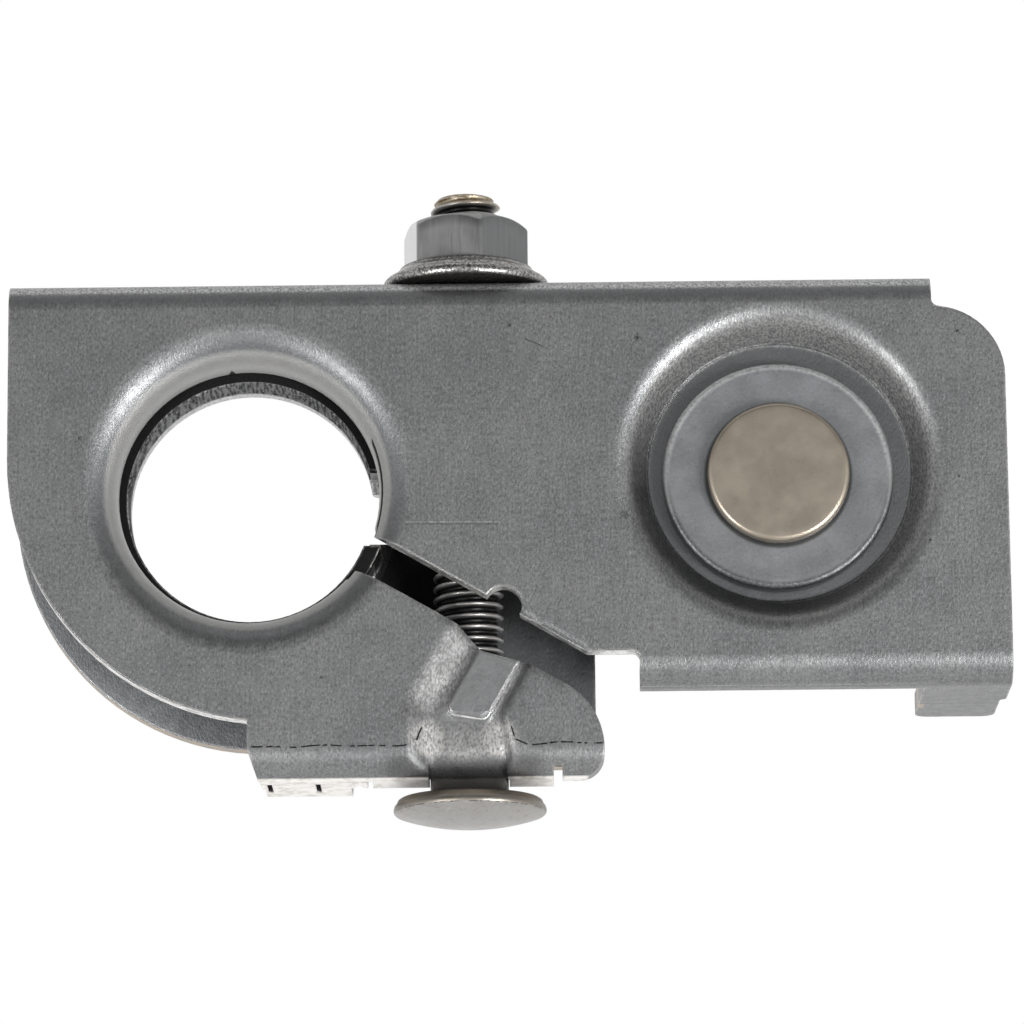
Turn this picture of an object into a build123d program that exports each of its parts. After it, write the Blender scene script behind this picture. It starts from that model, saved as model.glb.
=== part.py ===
from build123d import *
import math
import os

# Battery post clamp, folded from one steel sheet, with its clamp bolt and nut and a riveted cable stud.
# Frame: Z is the battery post's axis and points out of the face that the post enters,
# X runs from the post towards the cable stud, and the clamp bolt lies along Y in the plane Z = 0.
# All sizes are in millimetres.

# Sheet and folds
sheet = 1.5
body_depth = 10.0
bend_radius = 2.0

# Plate round the post, and the jaw below its slot
left_edge = -16.6
top_edge = 14.85
front_corner_radius = 18.6
front_corner_height = 2.15
back_corner_radius = 17.4
back_corner_height = 0.45
back_right = 24.0
jaw_left = 0.7
jaw_right = 24.5
jaw_end_height = 4.77
jaw_corner = 5.2
jaw_end_round = 1.7
relief_round = 0.5

# Tail that carries the stud
tail_right = 52.6
tail_bottom = -14.1
tail_slot_step = 0.35
tail_shoulder = 12.45
tail_corner = 5.0
tail_start = 27.0
top_wall_end = 47.6
lip_depth = 3.6
flange_depth = 2.8
tab_left = 46.6
tab_depth = 13.6
tab_corner = 1.0
tab_step = 0.4
tab_step_depth = 7.4

# Collars drawn inwards round the tapered post, the wider one where the post enters
collar_radius = 8.55
front_collar_growth = 0.55
front_collar_depth = 3.8
front_collar_entry = 2.6
back_collar_depth = 5.3
back_collar_entry = 1.2
collar_wall = 1.1
collar_land = 0.2

# Slots that let the ring close on the post
front_slot_angle = -30.0
front_slot_above = 1.52
front_slot_below = 1.2
front_collar_trim = 0.75
back_slot_top = 1.3
back_slot_bottom = -2.3
back_collar_trim = 0.9
slot_root = 5.0

# Clamp bolt and nut, M5
bolt_x = 15.2
bolt_radius = 2.45
bolt_hole_radius = 2.75
bolt_tip_above_nut = 1.85
bolt_tip_chamfer = 0.5
bolt_notch_radius = 1.3
neck_width = 5.4
neck_length = 3.6
neck_clearance = 0.06
head_radius = 5.3
head_rim = 1.0
head_dome = 0.9
head_gap = 0.9
nut_across_flats = 8.0
nut_height = 5.0
nut_bore_radius = 2.5
nut_flange_radius = 5.85
nut_flange_rim = 0.9
nut_flange_rise = 0.9
nut_crown_angle = 25.0
nut_turn = 17.0
nut_seat_gap = 0.02

# Dimple, washer and stud, M8
stud_x = 36.75
stud_y = 0.6
dimple_shift_x = 0.15
dimple_shift_y = 0.55
dimple_depth = 2.2
dimple_floor_radius = 9.2
dimple_wall_run = 1.5
dimple_land = 1.04
dimple_floor_bend = 0.3
dimple_mouth_bend = 1.8
washer_radius = 8.0
washer_thickness = 1.6
washer_edge = 0.2
stud_radius = 4.0
stud_shank_radius = 4.1
stud_hole_radius = 4.2
stud_head_radius = 4.9
stud_head_height = 1.3
stud_head_edge = 0.3
stud_shoulder_radius = 6.5
stud_shoulder_height = 1.5
stud_length = 14.0
stud_tip_chamfer = 1.0

# Flat pad in the jaw beside the bolt, placed by distances along the front slot and above the fold
pad_near = 19.5
pad_width = 3.0
pad_height = 0.35
pad_draft = 0.15
pad_foot = 1.8
pad_foot_slant = 0.5
pad_corner = 0.6

# Channel pressed round the pad, from the slot over the jaw's fold
channel_depth = 0.85
channel_valley = 0.7
channel_groove = 0.3
channel_slope_near = 1.7
channel_slope_far = 0.5
channel_turn_near = -7.3
channel_turn_far = -5.1
channel_turn_round = 1.5
channel_edge_relief = 0.75
saddle_half_width = 4.0
saddle_slope = 1.1
bulge_depth = 0.65

# Bottom flange of the jaw, with its interlocked seam, in X and Z
flange_free_edge = -0.5
flange_main_end = 21.0
flange_relief = 0.6
flange_end_edge = 2.1
tongue_radius = 4.4
tab_seam_end = 7.0
seam_gap = 0.12
seam_slot = 0.35
seam_slot_length = 3.5
first_slot_x = 1.4
second_slot_x = 4.75
third_slot_x = 8.35
low_seam_z = 0.35
high_seam_z = 2.3
high_seam_start = 6.0
notch_width = 1.1
notch_height = 1.9

# Levels and places that follow from the sizes above
front_face = body_depth / 2
back_face = -front_face
front_inner = front_face - sheet
inner_bend = bend_radius - sheet
bend_depth = front_face - bend_radius
slot_angle = math.radians(front_slot_angle)
jaw_end_top = (jaw_right * math.sin(slot_angle) - front_slot_below) / math.cos(slot_angle)
jaw_bottom = jaw_end_top - jaw_end_height
jaw_fold = jaw_bottom + bend_radius
tail_fold = tail_bottom + bend_radius
pad_far = pad_near + pad_width
channel_floor = front_face - channel_depth
channel_floor_near = pad_near - channel_valley
channel_floor_far = pad_far + channel_groove
channel_near = channel_floor_near - channel_slope_near
channel_far = channel_floor_far + channel_slope_far
front_collar_radius = collar_radius + front_collar_growth
dimple_x = stud_x + dimple_shift_x
dimple_y = stud_y + dimple_shift_y
dimple_mouth_radius = dimple_floor_radius + dimple_wall_run
dimple_land_radius = dimple_mouth_radius + dimple_land
dimple_floor = front_face - dimple_depth
dimple_underside = dimple_floor - sheet
dimple_under_growth = sheet * math.tan(math.atan2(dimple_depth, dimple_wall_run) / 2)
washer_top = dimple_floor + washer_thickness
stud_shoulder_face = dimple_underside - stud_shoulder_height
nut_seat = top_edge + nut_seat_gap
nut_top = nut_seat + nut_height
bolt_tip = nut_top + bolt_tip_above_nut
head_seat = jaw_bottom - head_gap
head_dome_radius = (head_radius**2 + head_dome**2) / (2 * head_dome)


def slot_point(along, across):
    """Point at a distance along the front slot from the bore axis and a distance across it."""
    x = along * math.cos(slot_angle) - across * math.sin(slot_angle)
    y = along * math.sin(slot_angle) + across * math.cos(slot_angle)
    return (x, y)


def slot_edge_at_x(across, x):
    """Where the front slot's edge at this distance across it crosses a vertical line."""
    return (x, (across + x * math.sin(slot_angle)) / math.cos(slot_angle))


def slot_edge_at_y(across, y):
    """Where the front slot's edge at this distance across it crosses a level line."""
    return ((y * math.cos(slot_angle) - across) / math.sin(slot_angle), y)


def slot_line_at_y(along, y):
    """Where a line straight across the front slot, at this distance along it, crosses a level line."""
    across = (y - along * math.sin(slot_angle)) / math.cos(slot_angle)
    return slot_point(along, across)


def folded_tube(bottom, start, end):
    """The sheet folded round into a tube with rounded corners, from X = start to X = end."""
    height = top_edge - bottom
    with BuildPart() as tube:
        with BuildSketch(Plane.YZ.offset(start)):
            with Locations(((top_edge + bottom) / 2, 0)):
                RectangleRounded(height, body_depth, bend_radius)
                RectangleRounded(height - 2 * sheet, body_depth - 2 * sheet, inner_bend, mode=Mode.SUBTRACT)
        extrude(amount=end - start)
    return tube.part


def drawn_collar(radius, depth, entry, side):
    """Collar drawn from the front (side 1) or back (side -1) plate towards the middle of the body."""
    mouth = radius + entry + collar_land
    face = side * front_face
    under = side * front_inner
    lip = side * (front_face - depth)
    with BuildPart() as collar:
        with BuildSketch(Plane.XZ):
            with BuildLine():
                FilletPolyline(
                    (mouth, face),
                    (radius, face),
                    (radius, lip),
                    (radius + collar_wall, lip),
                    (radius + collar_wall, under),
                    (mouth, under),
                    radius=[0, entry, 0, 0, entry - collar_wall, 0],
                    close=True,
                )
            make_face()
        revolve(axis=Axis.Z)
    return collar.part


def pad_block(low, high, inset):
    """Tapered block of the pad's outline, drawn in by the inset at its top."""
    foot = jaw_fold + pad_foot
    with BuildPart() as block:
        for level, draw_in in ((low, 0), (high, inset)):
            near = pad_near + draw_in
            far = pad_far - draw_in
            with BuildSketch(Plane.XY.offset(level)):
                with BuildLine():
                    FilletPolyline(
                        slot_point(near, 0),
                        slot_line_at_y(near, foot + draw_in + pad_foot_slant),
                        slot_line_at_y(far, foot + draw_in),
                        slot_point(far, 0),
                        radius=[0, pad_corner, pad_corner, 0],
                        close=True,
                    )
                make_face()
        loft(ruled=True)
    return block.part


def channel_outline(near, far, half_width):
    """Outline of the channel at one level: across the jaw beside the pad, then down over the fold."""
    low = jaw_bottom - sheet
    with BuildSketch() as outline:
        with BuildLine():
            FilletPolyline(
                slot_point(near, 0),
                slot_point(near, channel_turn_near),
                (bolt_x - half_width, low),
                (bolt_x + half_width, low),
                slot_point(far, channel_turn_far),
                slot_point(far, 0),
                radius=[0, channel_turn_round, 0, 0, channel_turn_round, 0],
                close=True,
            )
        make_face()
    return outline.sketch


def pressed_channel():
    """What the channel takes off the jaw: sloped walls, and a floor that follows the fold at its own depth."""
    floor = channel_outline(channel_floor_near, channel_floor_far, saddle_half_width - saddle_slope)
    mouth = channel_outline(channel_near, channel_far, saddle_half_width)
    with BuildPart() as channel:
        loft([floor.moved(Location((0, 0, channel_floor))), mouth.moved(Location((0, 0, front_face)))], ruled=True)
        extrude(floor.moved(Location((0, 0, channel_floor))), amount=-bend_radius)
        with BuildSketch(Plane.YZ):
            with BuildLine():
                FilletPolyline(
                    (0, 0),
                    (0, channel_floor),
                    (jaw_bottom, channel_floor),
                    (jaw_bottom, 0),
                    radius=[0, 0, bend_radius, 0],
                    close=True,
                )
            make_face()
        extrude(amount=jaw_right, mode=Mode.SUBTRACT)
    return channel.part


# Outline of the front plate: ring, jaw and tail, with the slanted slot between ring and jaw
front_corner_x = left_edge + front_corner_radius
ring_foot = front_corner_height - math.sqrt(front_corner_radius**2 - front_corner_x**2)
diagonal = math.sqrt(0.5)
with BuildSketch() as front_outline:
    with BuildLine():
        FilletPolyline(
            (left_edge, front_corner_height),
            (left_edge, top_edge),
            (top_wall_end, top_edge),
            (top_wall_end, tail_shoulder),
            (tail_right, tail_shoulder),
            (tail_right, tail_bottom),
            (tail_start, tail_bottom),
            (tail_start, tail_fold + tail_slot_step),
            slot_edge_at_y(front_slot_above, tail_fold + tail_slot_step),
            slot_point(slot_root, front_slot_above),
            slot_point(slot_root, -front_slot_below),
            slot_edge_at_x(-front_slot_below, jaw_right),
            (jaw_right, jaw_bottom),
            (jaw_left, jaw_bottom),
            (0, jaw_fold),
            (0, ring_foot),
            radius=[0, 0, relief_round, tail_corner, 0, 0, relief_round, 0, 0, 0, jaw_corner, jaw_end_round, 0, 0],
        )
        ThreePointArc(
            (0, ring_foot),
            (
                front_corner_x - diagonal * front_corner_radius,
                front_corner_height - diagonal * front_corner_radius,
            ),
            (left_edge, front_corner_height),
        )
    make_face()
    with Locations(slot_edge_at_x(front_slot_above, bolt_x + bolt_radius)):
        Circle(bolt_notch_radius, mode=Mode.SUBTRACT)
    with BuildLine():
        Polyline(
            slot_point(channel_near + channel_groove, -front_slot_below),
            slot_point(pad_near + channel_groove, -front_slot_below - channel_edge_relief),
            slot_point(pad_far + channel_groove, -front_slot_below),
            close=True,
        )
    make_face(mode=Mode.SUBTRACT)

# Outline of the back plate, which stops short of the tail and has a level slot
back_corner_bottom = back_corner_height - back_corner_radius
with BuildSketch() as back_outline:
    with BuildLine():
        FilletPolyline(
            (left_edge, top_edge),
            (back_right, top_edge),
            (back_right, back_slot_top),
            (slot_root, back_slot_top),
            (slot_root, back_slot_bottom),
            (back_right, back_slot_bottom),
            (back_right, jaw_fold),
            (tab_seam_end, jaw_fold),
            (tab_seam_end, jaw_bottom),
            (jaw_left + seam_slot, jaw_bottom),
            (jaw_left + seam_slot, back_corner_bottom),
            (left_edge, back_corner_bottom),
            radius=[0, 0, 0, 0, 0, 0, relief_round, relief_round, 0, 0, 0, back_corner_radius],
            close=True,
        )
    make_face()

# Outline of the jaw's bottom flange between the bends, with the hole for the bolt's square neck
with BuildSketch(Plane.XZ.offset(-jaw_bottom)) as flange_outline:
    with BuildLine():
        Polyline(
            (jaw_left, front_face),
            (jaw_left + seam_slot, back_face),
            (tab_seam_end, back_face),
            (tab_seam_end, flange_free_edge),
            (flange_main_end, flange_free_edge),
            (flange_main_end, front_face),
            close=True,
        )
    make_face()
    with BuildLine():
        Polyline(
            (flange_main_end + flange_relief, front_face),
            (flange_main_end + flange_relief, flange_end_edge),
            (jaw_right, flange_end_edge),
            (jaw_right, front_face),
            close=True,
        )
    make_face()
    with Locations((bolt_x, 0)):
        Circle(tongue_radius)
        Rectangle(neck_width + 2 * neck_clearance, neck_width + 2 * neck_clearance, mode=Mode.SUBTRACT)
    with BuildLine():
        Polyline(
            (tab_seam_end, flange_free_edge - sheet),
            (tab_seam_end, flange_free_edge),
            (tab_seam_end + notch_width / 2, flange_free_edge + notch_height),
            (tab_seam_end + notch_width, flange_free_edge),
            close=True,
        )
    make_face(mode=Mode.SUBTRACT)
    with Locations((first_slot_x, 0), (second_slot_x, 0), (third_slot_x, high_seam_z / 3)):
        Rectangle(seam_slot, seam_slot_length, mode=Mode.SUBTRACT)
    with Locations(((first_slot_x + second_slot_x) / 2, low_seam_z)):
        Rectangle(second_slot_x - first_slot_x, seam_gap, mode=Mode.SUBTRACT)
    with Locations(((high_seam_start + third_slot_x) / 2, high_seam_z)):
        Rectangle(third_slot_x - high_seam_start, seam_gap, mode=Mode.SUBTRACT)

# Front half of the folded sheet, down to the middle plane, with its collar, dimple and pad
with BuildPart() as front_half:
    add(folded_tube(jaw_bottom, left_edge, tail_start - sheet))
    add(folded_tube(tail_bottom, tail_start - sheet, tail_right))
    split(bisect_by=Plane.XY)
    with Locations((0, 0, front_face)):
        Hole(front_collar_radius + front_collar_entry + collar_land, depth=2 * sheet)
    with Locations((dimple_x, dimple_y, front_face)):
        Hole(dimple_land_radius, depth=2 * sheet)
    add(drawn_collar(front_collar_radius, front_collar_depth, front_collar_entry, 1))
    with BuildSketch(Plane.XZ.offset(-dimple_y)):
        with BuildLine():
            FilletPolyline(
                (dimple_x, dimple_floor),
                (dimple_x + dimple_floor_radius, dimple_floor),
                (dimple_x + dimple_mouth_radius, front_face),
                (dimple_x + dimple_land_radius, front_face),
                (dimple_x + dimple_land_radius, front_inner),
                (dimple_x + dimple_mouth_radius + dimple_under_growth, front_inner),
                (dimple_x + dimple_floor_radius + dimple_under_growth, dimple_underside),
                (dimple_x, dimple_underside),
                radius=[
                    0,
                    dimple_floor_bend,
                    dimple_mouth_bend,
                    0,
                    0,
                    dimple_mouth_bend - sheet,
                    dimple_floor_bend + sheet,
                    0,
                ],
                close=True,
            )
        make_face()
    revolve(axis=Axis((dimple_x, dimple_y, 0), (0, 0, 1)))
    with Locations((stud_x, stud_y, front_face)):
        Hole(stud_hole_radius, depth=body_depth / 2)
    add(pad_block(front_inner - bulge_depth, front_inner, 0))
    add(pressed_channel(), mode=Mode.SUBTRACT)
    add(pad_block(front_inner, channel_floor + pad_height, pad_draft))
    extrude(front_outline.sketch, amount=front_face, mode=Mode.INTERSECT)
    # Free edges of the tail's top lip and bottom flange
    with BuildSketch(Plane.XZ.offset(-top_edge)):
        with Locations(((back_right + tail_right) / 2, 0)):
            Rectangle(tail_right - back_right, 2 * (front_face - lip_depth))
    extrude(amount=2 * sheet, mode=Mode.SUBTRACT)
    with BuildSketch(Plane.XZ.offset(-tail_bottom)):
        with Locations(((jaw_right + tab_left) / 2, 0)):
            Rectangle(tab_left - jaw_right, 2 * (front_face - flange_depth))
    extrude(amount=-2 * sheet, mode=Mode.SUBTRACT)
    # Collar ends drawn back from the slot
    with BuildSketch(Plane.XY.offset(front_inner)):
        with BuildLine():
            Polyline(
                slot_point(slot_root, front_slot_above + front_collar_trim),
                slot_point(front_collar_radius + sheet, front_slot_above + front_collar_trim),
                slot_point(front_collar_radius + sheet, -front_slot_below - front_collar_trim),
                slot_point(slot_root, -front_slot_below - front_collar_trim),
                close=True,
            )
        make_face()
    extrude(amount=-front_inner, mode=Mode.SUBTRACT)

# Back half of the folded sheet, up to the middle plane, with its collar
with BuildPart() as back_half:
    add(folded_tube(jaw_bottom, left_edge, back_right))
    split(bisect_by=Plane.XY, keep=Keep.BOTTOM)
    with Locations((0, 0, back_face)):
        Cylinder(collar_radius + back_collar_entry + collar_land, 4 * sheet, mode=Mode.SUBTRACT)
    add(drawn_collar(collar_radius, back_collar_depth, back_collar_entry, -1))
    extrude(back_outline.sketch, amount=front_face, both=True, mode=Mode.INTERSECT)
    with BuildSketch(Plane.XY):
        with Locations((collar_radius, (back_slot_top + back_slot_bottom) / 2)):
            Rectangle(2 * slot_root, back_slot_top - back_slot_bottom + 2 * back_collar_trim)
    extrude(amount=front_inner, both=True, mode=Mode.SUBTRACT)

# The whole clamp body
with BuildPart() as clamp_body:
    add(front_half.part)
    add(back_half.part)
    # Lug tab below the tail
    with BuildSketch(Plane.XZ.offset(-tail_bottom)):
        with BuildLine():
            FilletPolyline(
                (tab_left, bend_depth),
                (tab_left, front_face - tab_depth),
                (tail_right - tab_step, front_face - tab_depth),
                (tail_right - tab_step, front_face - tab_step_depth),
                (tail_right, front_face - tab_step_depth + tab_step),
                (tail_right, bend_depth),
                radius=[0, tab_corner, tab_corner, 0, 0, 0],
                close=True,
            )
        make_face()
    extrude(amount=-sheet)
    # Bottom flange trimmed to its outline between the bends
    with BuildSketch(Plane.XZ.offset(-jaw_bottom)):
        with Locations((jaw_right / 2, 0)):
            Rectangle(jaw_right + 2 * sheet, 2 * bend_depth)
        add(flange_outline.sketch, mode=Mode.SUBTRACT)
    extrude(amount=-bend_radius, mode=Mode.SUBTRACT)
    # Relief that runs up the fold at the end of the main flange
    with Locations((flange_main_end + flange_relief / 2, jaw_bottom, bend_depth)):
        Box(flange_relief, bend_radius, 2 * (bend_radius - inner_bend), mode=Mode.SUBTRACT)
    # Bolt hole in the top wall
    with BuildSketch(Plane.XZ.offset(-top_edge)):
        with Locations((bolt_x, 0)):
            Circle(bolt_hole_radius)
    extrude(amount=2 * sheet, mode=Mode.SUBTRACT)

# Bolt with a domed head and a square neck that the flange keeps from turning
with BuildPart() as clamp_bolt:
    with BuildSketch(Plane.XY):
        with BuildLine():
            CenterArc(
                (bolt_x, head_seat - head_rim - head_dome + head_dome_radius),
                head_dome_radius,
                -90,
                math.degrees(math.asin(head_radius / head_dome_radius)),
            )
            Polyline(
                (bolt_x + head_radius, head_seat - head_rim),
                (bolt_x + head_radius, head_seat),
                (bolt_x + bolt_radius, head_seat),
                (bolt_x + bolt_radius, bolt_tip - bolt_tip_chamfer),
                (bolt_x + bolt_radius - bolt_tip_chamfer, bolt_tip),
                (bolt_x, bolt_tip),
                (bolt_x, head_seat - head_rim - head_dome),
            )
        make_face()
    revolve(axis=Axis((bolt_x, 0, 0), (0, 1, 0)))
    with Locations((bolt_x, head_seat + neck_length / 2, 0)):
        Box(neck_width, neck_length, neck_width)

# Hexagon nut with a washer flange
with BuildPart() as clamp_nut:
    with BuildSketch(Plane.XZ.offset(-nut_seat)):
        with Locations((bolt_x, 0)):
            RegularPolygon(nut_across_flats / 2, 6, major_radius=False, rotation=nut_turn)
    extrude(amount=-nut_height)
    corner_radius = nut_across_flats / math.sqrt(3)
    crown_drop = (corner_radius - nut_across_flats / 2) * math.tan(math.radians(nut_crown_angle))
    with BuildSketch(Plane.XY):
        with BuildLine():
            Polyline(
                (bolt_x, nut_seat),
                (bolt_x + corner_radius, nut_seat),
                (bolt_x + corner_radius, nut_top - crown_drop),
                (bolt_x + nut_across_flats / 2, nut_top),
                (bolt_x, nut_top),
                close=True,
            )
        make_face()
    revolve(axis=Axis((bolt_x, 0, 0), (0, 1, 0)), mode=Mode.INTERSECT)
    with BuildSketch(Plane.XY):
        with BuildLine():
            Polyline(
                (bolt_x, nut_seat),
                (bolt_x + nut_flange_radius, nut_seat),
                (bolt_x + nut_flange_radius, nut_seat + nut_flange_rim),
                (bolt_x + nut_across_flats / 2, nut_seat + nut_flange_rim + nut_flange_rise),
                (bolt_x, nut_seat + nut_flange_rim + nut_flange_rise),
                close=True,
            )
        make_face()
    revolve(axis=Axis((bolt_x, 0, 0), (0, 1, 0)))
    with BuildSketch(Plane.XZ.offset(-nut_seat)):
        with Locations((bolt_x, 0)):
            Circle(nut_bore_radius)
    extrude(amount=-nut_height, mode=Mode.SUBTRACT)

# Washer under the stud's head
with BuildPart() as stud_washer:
    with Locations((stud_x, stud_y, dimple_floor)):
        Cylinder(washer_radius, washer_thickness, align=(Align.CENTER, Align.CENTER, Align.MIN))
        Cylinder(
            stud_hole_radius,
            washer_thickness,
            align=(Align.CENTER, Align.CENTER, Align.MIN),
            mode=Mode.SUBTRACT,
        )
    chamfer(stud_washer.edges().group_by(Axis.Z)[-1].sort_by(SortBy.RADIUS)[-1], washer_edge)

# Stud: rivet head on the washer, shoulder under the dimple, and a thread for the cable lug
with BuildPart() as terminal_stud:
    with BuildSketch(Plane.XZ.offset(-stud_y)):
        with BuildLine():
            Polyline(
                (stud_x, washer_top + stud_head_height),
                (stud_x + stud_head_radius - stud_head_edge, washer_top + stud_head_height),
                (stud_x + stud_head_radius, washer_top + stud_head_height - stud_head_edge),
                (stud_x + stud_head_radius, washer_top),
                (stud_x + stud_shank_radius, washer_top),
                (stud_x + stud_shank_radius, dimple_underside),
                (stud_x + stud_shoulder_radius, dimple_underside),
                (stud_x + stud_shoulder_radius, stud_shoulder_face),
                (stud_x + stud_radius, stud_shoulder_face),
                (stud_x + stud_radius, stud_shoulder_face - stud_length + stud_tip_chamfer),
                (stud_x + stud_radius - stud_tip_chamfer, stud_shoulder_face - stud_length),
                (stud_x, stud_shoulder_face - stud_length),
                close=True,
            )
        make_face()
    revolve(axis=Axis((stud_x, stud_y, 0), (0, 0, 1)))

clamp_body.part.label = "clamp_body"
clamp_bolt.part.label = "clamp_bolt"
clamp_nut.part.label = "clamp_nut"
stud_washer.part.label = "stud_washer"
terminal_stud.part.label = "terminal_stud"

os.makedirs("parts", exist_ok=True)
export_step(clamp_body.part, "parts/clamp_body.step")
export_step(clamp_bolt.part, "parts/clamp_bolt.step")
export_step(clamp_nut.part, "parts/clamp_nut.step")
export_step(stud_washer.part, "parts/stud_washer.step")
export_step(terminal_stud.part, "parts/terminal_stud.step")
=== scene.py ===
import bpy
import math
from mathutils import Matrix, Vector


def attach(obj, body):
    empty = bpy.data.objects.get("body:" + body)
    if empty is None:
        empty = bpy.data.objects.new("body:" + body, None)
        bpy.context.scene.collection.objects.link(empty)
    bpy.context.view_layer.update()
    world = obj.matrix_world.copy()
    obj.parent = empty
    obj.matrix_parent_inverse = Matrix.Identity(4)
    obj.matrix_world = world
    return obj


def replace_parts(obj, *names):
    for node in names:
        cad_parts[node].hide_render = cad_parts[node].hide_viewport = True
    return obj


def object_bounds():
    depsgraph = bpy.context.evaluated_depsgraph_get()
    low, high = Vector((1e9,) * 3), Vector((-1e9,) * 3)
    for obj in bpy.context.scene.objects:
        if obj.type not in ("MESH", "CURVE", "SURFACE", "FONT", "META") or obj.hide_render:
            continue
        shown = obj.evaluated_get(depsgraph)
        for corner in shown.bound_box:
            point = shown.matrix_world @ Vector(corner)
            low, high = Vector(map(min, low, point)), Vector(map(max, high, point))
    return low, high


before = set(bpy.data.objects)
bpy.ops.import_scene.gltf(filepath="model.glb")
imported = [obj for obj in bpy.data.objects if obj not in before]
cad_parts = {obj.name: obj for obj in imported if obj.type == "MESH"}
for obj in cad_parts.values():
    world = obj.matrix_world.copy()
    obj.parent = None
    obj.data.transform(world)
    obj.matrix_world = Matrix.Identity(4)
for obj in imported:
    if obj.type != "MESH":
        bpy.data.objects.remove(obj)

CAD_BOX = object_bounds()
MM = 0.001

# Sizes in millimetres, as in the solids
FACE = 5.0
INNER = 3.5
TOP = 14.85
JAW_LEFT = 0.7
JAW_RIGHT = 24.5
JAW_FOLD = -18.3
JAW_BOTTOM = -20.3
FRONT_COLLAR_R = 9.1
FRONT_LIP = 1.2
BACK_COLLAR_R = 8.55
BACK_LIP = 0.3
BACK_WALL_END = -3.8
SLOT_ANGLE = -30.0
PAD_NEAR = 19.5
PAD_FAR = 22.5
DIMPLE = (36.9, 1.15)
DIMPLE_R = 9.2
DIMPLE_FLOOR = 2.8
STUD = (36.75, 0.6)
STUD_R = 4.0
STUD_HEAD_R = 4.9
STUD_HEAD_TOP = 5.7
STUD_PITCH = 1.25
STUD_THREAD_DEPTH = 0.7
STUD_HEAD_ROUND = 0.34
STUD_NECK_R = 4.1
STUD_SHOULDER_TOP = 1.3
STUD_SHOULDER_ROUND = 0.2
WASHER_R = 8.0
WASHER_TOP = 4.4
WASHER_BORE_R = 4.22
WASHER_ROUND = 0.35
BOLT_X = 15.2
BOLT_R = 2.45
PITCH = 0.8
THREAD_DEPTH = 0.45
BOLT_TIP = 21.72
HEAD_SEAT = -21.2
HEAD_R = 5.3
HEAD_RIM = 1.0
HEAD_DOME = 0.9
HEAD_ROUND = 0.35
NECK_HALF = 2.69
NECK_LENGTH = 3.7
THREAD_START = -15.4
NUT_SEAT = 14.87
NUT_TOP = 19.87
NUT_HALF = 4.0
NUT_TURN = 17.0
NUT_FLANGE_R = 5.85
NUT_STEP = 1.72
NUT_BORE_R = 2.5
NUT_MOUTH_R = 2.62
NUT_MOUTH_DEPTH = 0.4
POLE_R = 0.02

# Radii in millimetres that the materials round edges with
SHEET_ROUND = 0.24
PRESSED_ROUND = 0.6
STEEL_ROUND = 0.12
NUT_ROUND = 0.1

# What the metal materials share, and the solid share of a spot's radius or a line's half width
METALLIC = 0.92
BUMP_DISTANCE = 0.04
BEVEL_SAMPLES = 4
SOLID_SHARE = 0.4
WHITE = (1, 1, 1, 1)

# Marks on the front face in X and Y: the line along the jaw's fold, the painted highlight and painted shade along
# an embossed line's two sides, scratches by their ends, pits with their radii
FOLD_Y = JAW_FOLD + 0.15
FOLD_LINE = (
    ((JAW_LEFT - 0.4, FOLD_Y), (10.9, FOLD_Y)),
    ((10.8, FOLD_Y), (11.7, FOLD_Y + 0.45)),
    ((11.65, FOLD_Y + 0.35), (12.0, FOLD_Y + 1.3)),
    ((JAW_RIGHT, FOLD_Y), (19.2, FOLD_Y)),
    ((19.3, FOLD_Y), (18.4, FOLD_Y + 0.4)),
    ((18.45, FOLD_Y + 0.3), (18.1, FOLD_Y + 1.3)),
)
EMBOSS_HIGHLIGHT = ((10.95, -2.55), (17.5, -2.62))
EMBOSS_SHADE = ((10.95, -2.7), (17.4, -2.77))
GOUGE = ((19.3, 10.3), (20.92, 9.6))
THIN_SCRATCHES = (
    ((21.06, 9.7), (19.28, 6.0)),
    ((19.28, 6.0), (14.4, 1.8)),
    ((17.9, 6.4), (14.6, 2.4)),
    ((20.9, 9.63), (22.3, 9.95)),
)
PITS = (
    ((27.11, 10.42), 0.42),
    ((18.3, 11.38), 0.16),
    ((18.43, 10.85), 0.14),
    ((26.1, -2.16), 0.3),
    ((24.6, 6.4), 0.12),
    ((49.3, 10.6), 0.3),
    ((47.1, -4.22), 0.2),
    ((49.2, 0.3), 0.16),
    ((5.0, -13.4), 0.16),
    ((-11.6, 3.6), 0.14),
)

# Floor in metres; lamps by place and target in millimetres, size in metres and power in watts
FLOOR_HALF = 3.0
FLOOR_DROP = 0.0002
FLOOR_SHADE = (0.82, 0.82, 0.82, 1)
LAMP_TARGET = (18, 0, 0)
LAMPS = (
    ("right_box", (272, -158, 333), (0.11, 0.17), 2.1),
    ("left_box", (-240, -158, 333), (0.11, 0.15), 1.1),
)

# Camera: place in metres, its directions to the right and to the back, lens and sensor in millimetres
CAMERA_AT = (0.020008, -0.087377, 0.390323)
CAMERA_SIDE = (0.999935, -0.009372, -0.006486)
CAMERA_BACK = (0.004304, -0.216474, 0.976279)
CAMERA_LENS = 201.09
CAMERA_SENSOR = 36.0
CAMERA_CLIP = 0.01


# Mesh helpers
def shade_smooth(mesh, angle):
    """Smooth shading, with edges sharp where faces meet at more than an angle in degrees."""
    for p in mesh.polygons:
        p.use_smooth = True
    mesh.set_sharp_from_angle(angle=math.radians(angle))


def mesh_object(name, verts, faces, body, material, smooth_angle):
    mesh = bpy.data.meshes.new(name)
    mesh.from_pydata([tuple(c * MM for c in v) for v in verts], [], faces)
    mesh.validate()
    mesh.update()
    shade_smooth(mesh, smooth_angle)
    mesh.materials.append(material)
    obj = bpy.data.objects.new(name, mesh)
    bpy.context.scene.collection.objects.link(obj)
    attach(obj, body)
    return obj


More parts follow.
